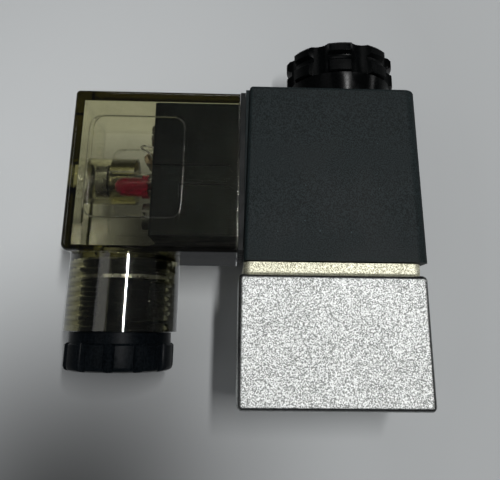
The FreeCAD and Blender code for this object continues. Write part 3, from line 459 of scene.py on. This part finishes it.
lamp_red = finish("lamp_red", (0.30, 0.006, 0.028), (0.40, 0.012, 0.045), 0.12,
                  grain=0.4, blotch=2, contrast=0.3, bump=0.002, rough_play=0.03,
                  Transmission_Weight=0.55, IOR=1.5)
resistor_body = finish("resistor_body", (0.36, 0.27, 0.17), (0.45, 0.35, 0.22), 0.4,
                       grain=0.3, blotch=2, contrast=0.3, bump=0.004)
coat(lamp_red, "led_lamp")
coat(tinned_brass, "led_leads")
coat(resistor_body, "led_resistor")

# One wire of the lamp is left long: it bows up from the lamp's base and is hooked over the edge of
# the insert above, where it is soldered to the resistor.

lamp_low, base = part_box("led_lamp")
lamp_axis = (base.z + lamp_low.z) / 2
bpy.ops.object.select_all(action="DESELECT")
bpy.ops.curve.primitive_nurbs_path_add(location=(0, 0, 0))
wire = bpy.context.active_object
wire.name = "lamp_wire"
line = wire.data.splines[0]
stops_mm = ((0.0, 0.3), (0.9, 0.8), (1.6, 2.6), (0.7, 4.6), (-0.4, 6.3), (-1.9, 6.9), (-1.2, 7.4),
            (0.6, 6.9), (1.8, 6.9))
line.points.add(len(stops_mm) - len(line.points))
for point, (along, up) in zip(line.points, stops_mm):
    point.co = (base.x + (along - 0.1) * MM, -6.0 * MM, lamp_axis + up * MM, 1)
line.order_u = 3
line.use_endpoint_u = True
wire.data.bevel_depth = 0.16 * MM
wire.data.bevel_resolution = 4
wire.data.use_fill_caps = True
bpy.ops.object.convert(target="MESH")
bpy.ops.object.shade_smooth()
wire.data.materials.append(tinned_brass)
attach(wire, "plug")

# The gland nut is black plastic with twelve ribs to grip it by. It presses a washer and a
# rubber seal round the cable; the photo shows no cable, so they lie loose on the nut.

nut_plastic = finish("nut_plastic", (0.0012, 0.0018, 0.0024), (0.003, 0.004, 0.005), 0.30,
                     grain=0.3, blotch=5, contrast=0.5, bump=0.002, Specular_IOR_Level=0.03)
soften("gland_nut", 0.14, "gland_nut", nut_plastic)
coat(screw_steel, "gland_washer")
coat(black_rubber, "cable_seal")

# The valve lies on its back on a plain pale sheet, so in the shared frame the sheet stands upright
# behind it. It keeps the valve's shadow; its colour also holds a painted falloff of light from the
# left and a painted shadow low on the left, as of a hand. Bounced light is not stopped by it, so
# that the back is lit as well. Seen behind the clear plastic it glows as a painted light, with
# painted shade low down, and how much is set by place, to match the window in the photo.

bpy.ops.object.select_all(action="DESELECT")
sheet_x, sheet_z = -0.018, 0.034
clear_of_valve = 0.05 * MM
bpy.ops.mesh.primitive_circle_add(vertices=96, radius=0.16, fill_type="TRIFAN",
                                  location=(sheet_x, cad_high.y + clear_of_valve, sheet_z),
                                  rotation=(math.pi / 2, 0, 0))
sheet = bpy.context.active_object
sheet.name = "sheet"
bpy.ops.object.transform_apply(location=True, rotation=True, scale=True)
sheet_white = bpy.data.materials.new("sheet_white")
sheet_white.use_nodes = True
tree = sheet_white.node_tree
nodes, links = tree.nodes, tree.links
paper = nodes["Principled BSDF"]
paper.inputs["Roughness"].default_value = 0.8
paper.inputs["Specular IOR Level"].default_value = 0.1
place = nodes.new("ShaderNodeTexCoord")
parts = nodes.new("ShaderNodeSeparateXYZ")
links.new(place.outputs["Object"], parts.inputs[0])
# A painted falloff of light: the sheet's colour is brightest near a point at its left and darker
# further from it.
from_painted_light = nodes.new("ShaderNodeVectorMath")
from_painted_light.operation = "DISTANCE"
from_painted_light.inputs[1].default_value = (-0.066, cad_high.y, 0.036)
links.new(place.outputs["Object"], from_painted_light.inputs[0])
painted_falloff = ramp(tree, from_painted_light.outputs["Value"], start=0.010, end=0.095, at_start=1.0, at_end=0.72)
# A painted shadow, as of a hand: the sheet's colour is darker round a point low on its left.
from_painted_shadow = nodes.new("ShaderNodeVectorMath")
from_painted_shadow.operation = "DISTANCE"
from_painted_shadow.inputs[1].default_value = (-0.047, cad_high.y, -0.021)
links.new(place.outputs["Object"], from_painted_shadow.inputs[0])
painted_hand_shadow = ramp(tree, from_painted_shadow.outputs["Value"], start=0.0, end=0.055, at_start=0.12, smooth=True)
painted_light_and_shadow = nodes.new("ShaderNodeMath")
painted_light_and_shadow.operation = "MULTIPLY"
links.new(painted_falloff.outputs["Result"], painted_light_and_shadow.inputs[0])
links.new(painted_hand_shadow.outputs["Result"], painted_light_and_shadow.inputs[1])
sheet_colour_with_painted_shade = scaled(tree, (0.465, 0.478, 0.482), painted_light_and_shadow.outputs[0])
links.new(sheet_colour_with_painted_shade, paper.inputs["Base Color"])
# Seen behind the clear plastic the sheet glows, a painted light in its own colour with a yellow
# tint: painted shade below the window and dimmest behind the tube's right side, brighter higher up
# and at the far left.
painted_glow = nodes.new("ShaderNodeEmission")
across_sheet, up_sheet = parts.outputs["X"], parts.outputs["Z"]
painted_glow_strength = ramp(tree, up_sheet, start=0.0315, end=0.0325, smooth=True)
in_shadow = ramp(tree, across_sheet, start=-0.048, end=-0.036, at_start=0.45, at_end=0.04,
                 smooth=True)
links.new(in_shadow.outputs["Result"], painted_glow_strength.inputs["To Min"])
painted_glow_higher = ramp(tree, up_sheet, start=0.038, end=0.052, at_start=0.17, at_end=1.25)
painted_glow_leftmost = ramp(tree, across_sheet, start=-0.0485, end=-0.0445, at_start=0.85, at_end=0.17)
links.new(largest(tree, painted_glow_higher.outputs["Result"], painted_glow_leftmost.outputs["Result"]),
          painted_glow_strength.inputs["To Max"])
painted_glow_colour = nodes.new("ShaderNodeVectorMath")
painted_glow_colour.operation = "MULTIPLY"
painted_glow_colour.inputs[1].default_value = (1.0, 0.985, 0.86)
links.new(sheet_colour_with_painted_shade, painted_glow_colour.inputs[0])
links.new(painted_glow_colour.outputs["Vector"], painted_glow.inputs["Color"])
links.new(painted_glow_strength.outputs["Result"], painted_glow.inputs["Strength"])
rays = nodes.new("ShaderNodeLightPath")
seen_by = nodes.new("ShaderNodeMixShader")
links.new(rays.outputs["Is Transmission Ray"], seen_by.inputs[0])
links.new(paper.outputs[0], seen_by.inputs[1])
links.new(painted_glow.outputs[0], seen_by.inputs[2])
away = nodes.new("ShaderNodeVectorMath")
away.operation = "DISTANCE"
away.inputs[1].default_value = (sheet_x, cad_high.y, sheet_z)
links.new(place.outputs["Object"], away.inputs[0])
edge = ramp(tree, away.outputs["Value"], start=0.085, end=0.15, smooth=True)
behind = nodes.new("ShaderNodeNewGeometry")
reflected = nodes.new("ShaderNodeMath")
reflected.operation = "SUBTRACT"
links.new(rays.outputs["Is Glossy Ray"], reflected.inputs[0])
links.new(rays.outputs["Is Transmission Ray"], reflected.inputs[1])
hidden = largest(tree, edge.outputs["Result"], rays.outputs["Is Diffuse Ray"],
                 reflected.outputs[0], rays.outputs["Is Shadow Ray"],
                 behind.outputs["Backfacing"])
nothing = nodes.new("ShaderNodeBsdfTransparent")
shown = nodes.new("ShaderNodeMixShader")
links.new(hidden, shown.inputs[0])
links.new(seen_by.outputs[0], shown.inputs[1])
links.new(nothing.outputs[0], shown.inputs[2])
links.new(shown.outputs[0], nodes["Material Output"].inputs["Surface"])
sheet.data.materials.append(sheet_white)
sheet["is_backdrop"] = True

# The main light is a tall narrow strip, a little to the right of the camera, so the valve's shadow
# on the sheet is sharp at its left and soft below. All lamps point at the middle of the valve.

for name, place_mm, wide_mm, high_mm, watts in (("window_strip", (76, -450, 62), 19, 170, 1.75),
                                                ("front_lamp", (-40, -250, 230), 130, 90, 0.07),
                                                ("left_window", (-273, -348, 50), 170, 260, 0.10),
                                                ("right_window", (200, -70, 85), 14, 70, 0.05)):
    lamp = bpy.data.lights.new(name, "AREA")
    lamp.shape = "RECTANGLE"
    lamp.size = wide_mm * MM
    lamp.size_y = high_mm * MM
    lamp.energy = watts
    holder = bpy.data.objects.new(name, lamp)
    holder.location = Vector(place_mm) * MM
    toward = Vector((-18 * MM, 0, 28 * MM)) - holder.location
    holder.rotation_euler = toward.to_track_quat("-Z", "Y").to_euler()
    bpy.context.scene.collection.objects.link(holder)

# The room is pale behind the valve. For mirrored and bent rays it is dim in front of the valve and
# low behind it, so that the dark plastic stays dark.

room_pale, room_dim = (0.40, 0.415, 0.42), (0.05, 0.052, 0.055)
world = bpy.data.worlds.new("room")
world.use_nodes = True
bpy.context.scene.world = world
tree = world.node_tree
nodes, links = tree.nodes, tree.links
soft = nodes["Background"]
soft.inputs["Color"].default_value = (0.95, 0.97, 1.0, 1)
seen = nodes.new("ShaderNodeBackground")
way = nodes.new("ShaderNodeTexCoord")
parts = nodes.new("ShaderNodeSeparateXYZ")
links.new(way.outputs["Generated"], parts.inputs[0])
front = ramp(tree, parts.outputs["Y"], start=0.45, end=-0.10, smooth=True)
rays = nodes.new("ShaderNodeLightPath")
mirrored = nodes.new("ShaderNodeMath")
mirrored.operation = "SUBTRACT"
mirrored.inputs[0].default_value = 1.0
links.new(rays.outputs["Is Camera Ray"], mirrored.inputs[1])
toward_lamp = nodes.new("ShaderNodeVectorMath")
toward_lamp.operation = "DOT_PRODUCT"
toward_lamp.inputs[1].default_value = (-0.50, -0.79, 0.35)
links.new(way.outputs["Generated"], toward_lamp.inputs[0])
glow = ramp(tree, toward_lamp.outputs["Value"], start=-0.3, end=1.0, at_start=0.05, at_end=0.34,
            smooth=True)
links.new(glow.outputs["Result"], soft.inputs["Strength"])
under = ramp(tree, parts.outputs["Z"], start=-0.03, end=-0.06)
back = ramp(tree, parts.outputs["Y"], start=0.975, end=0.985)
in_shade = nodes.new("ShaderNodeMath")
in_shade.operation = "MULTIPLY_ADD"
links.new(under.outputs["Result"], in_shade.inputs[0])
links.new(back.outputs["Result"], in_shade.inputs[1])
links.new(front.outputs["Result"], in_shade.inputs[2])
dim = nodes.new("ShaderNodeMath")
dim.operation = "MULTIPLY"
links.new(in_shade.outputs[0], dim.inputs[0])
links.new(mirrored.outputs[0], dim.inputs[1])
tone = nodes.new("ShaderNodeMix")
tone.data_type = "RGBA"
tone.inputs["A"].default_value = (*room_pale, 1)
tone.inputs["B"].default_value = (*room_dim, 1)
links.new(dim.outputs[0], tone.inputs["Factor"])
links.new(tone.outputs["Result"], seen.inputs["Color"])
choice = nodes.new("ShaderNodeMixShader")
links.new(largest(tree, rays.outputs["Is Camera Ray"], rays.outputs["Is Glossy Ray"],
                  rays.outputs["Is Transmission Ray"]), choice.inputs[0])
links.new(soft.outputs[0], choice.inputs[1])
links.new(seen.outputs[0], choice.inputs[2])
links.new(choice.outputs[0], nodes["World Output"].inputs["Surface"])

# The camera stands low in front of the valve and looks up at it. The photo asks for a larger
# vertical shift, but that would push the valve out of the other views.

eye = bpy.data.cameras.new("eye")
eye.lens = 41.87
eye.sensor_width = 36
eye.shift_x = -0.0055
eye.shift_y = -0.1800
eye.clip_start = 0.005
eye_holder = bpy.data.objects.new("eye", eye)
eye_holder.location = (-0.019534, -0.103014, 0.011553)
eye_holder.rotation_euler = (1.869700, -0.010339, -0.033051)
bpy.context.scene.collection.objects.link(eye_holder)
bpy.context.scene.camera = eye_holder
bpy.context.scene.view_settings.view_transform = "Standard"

low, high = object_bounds()
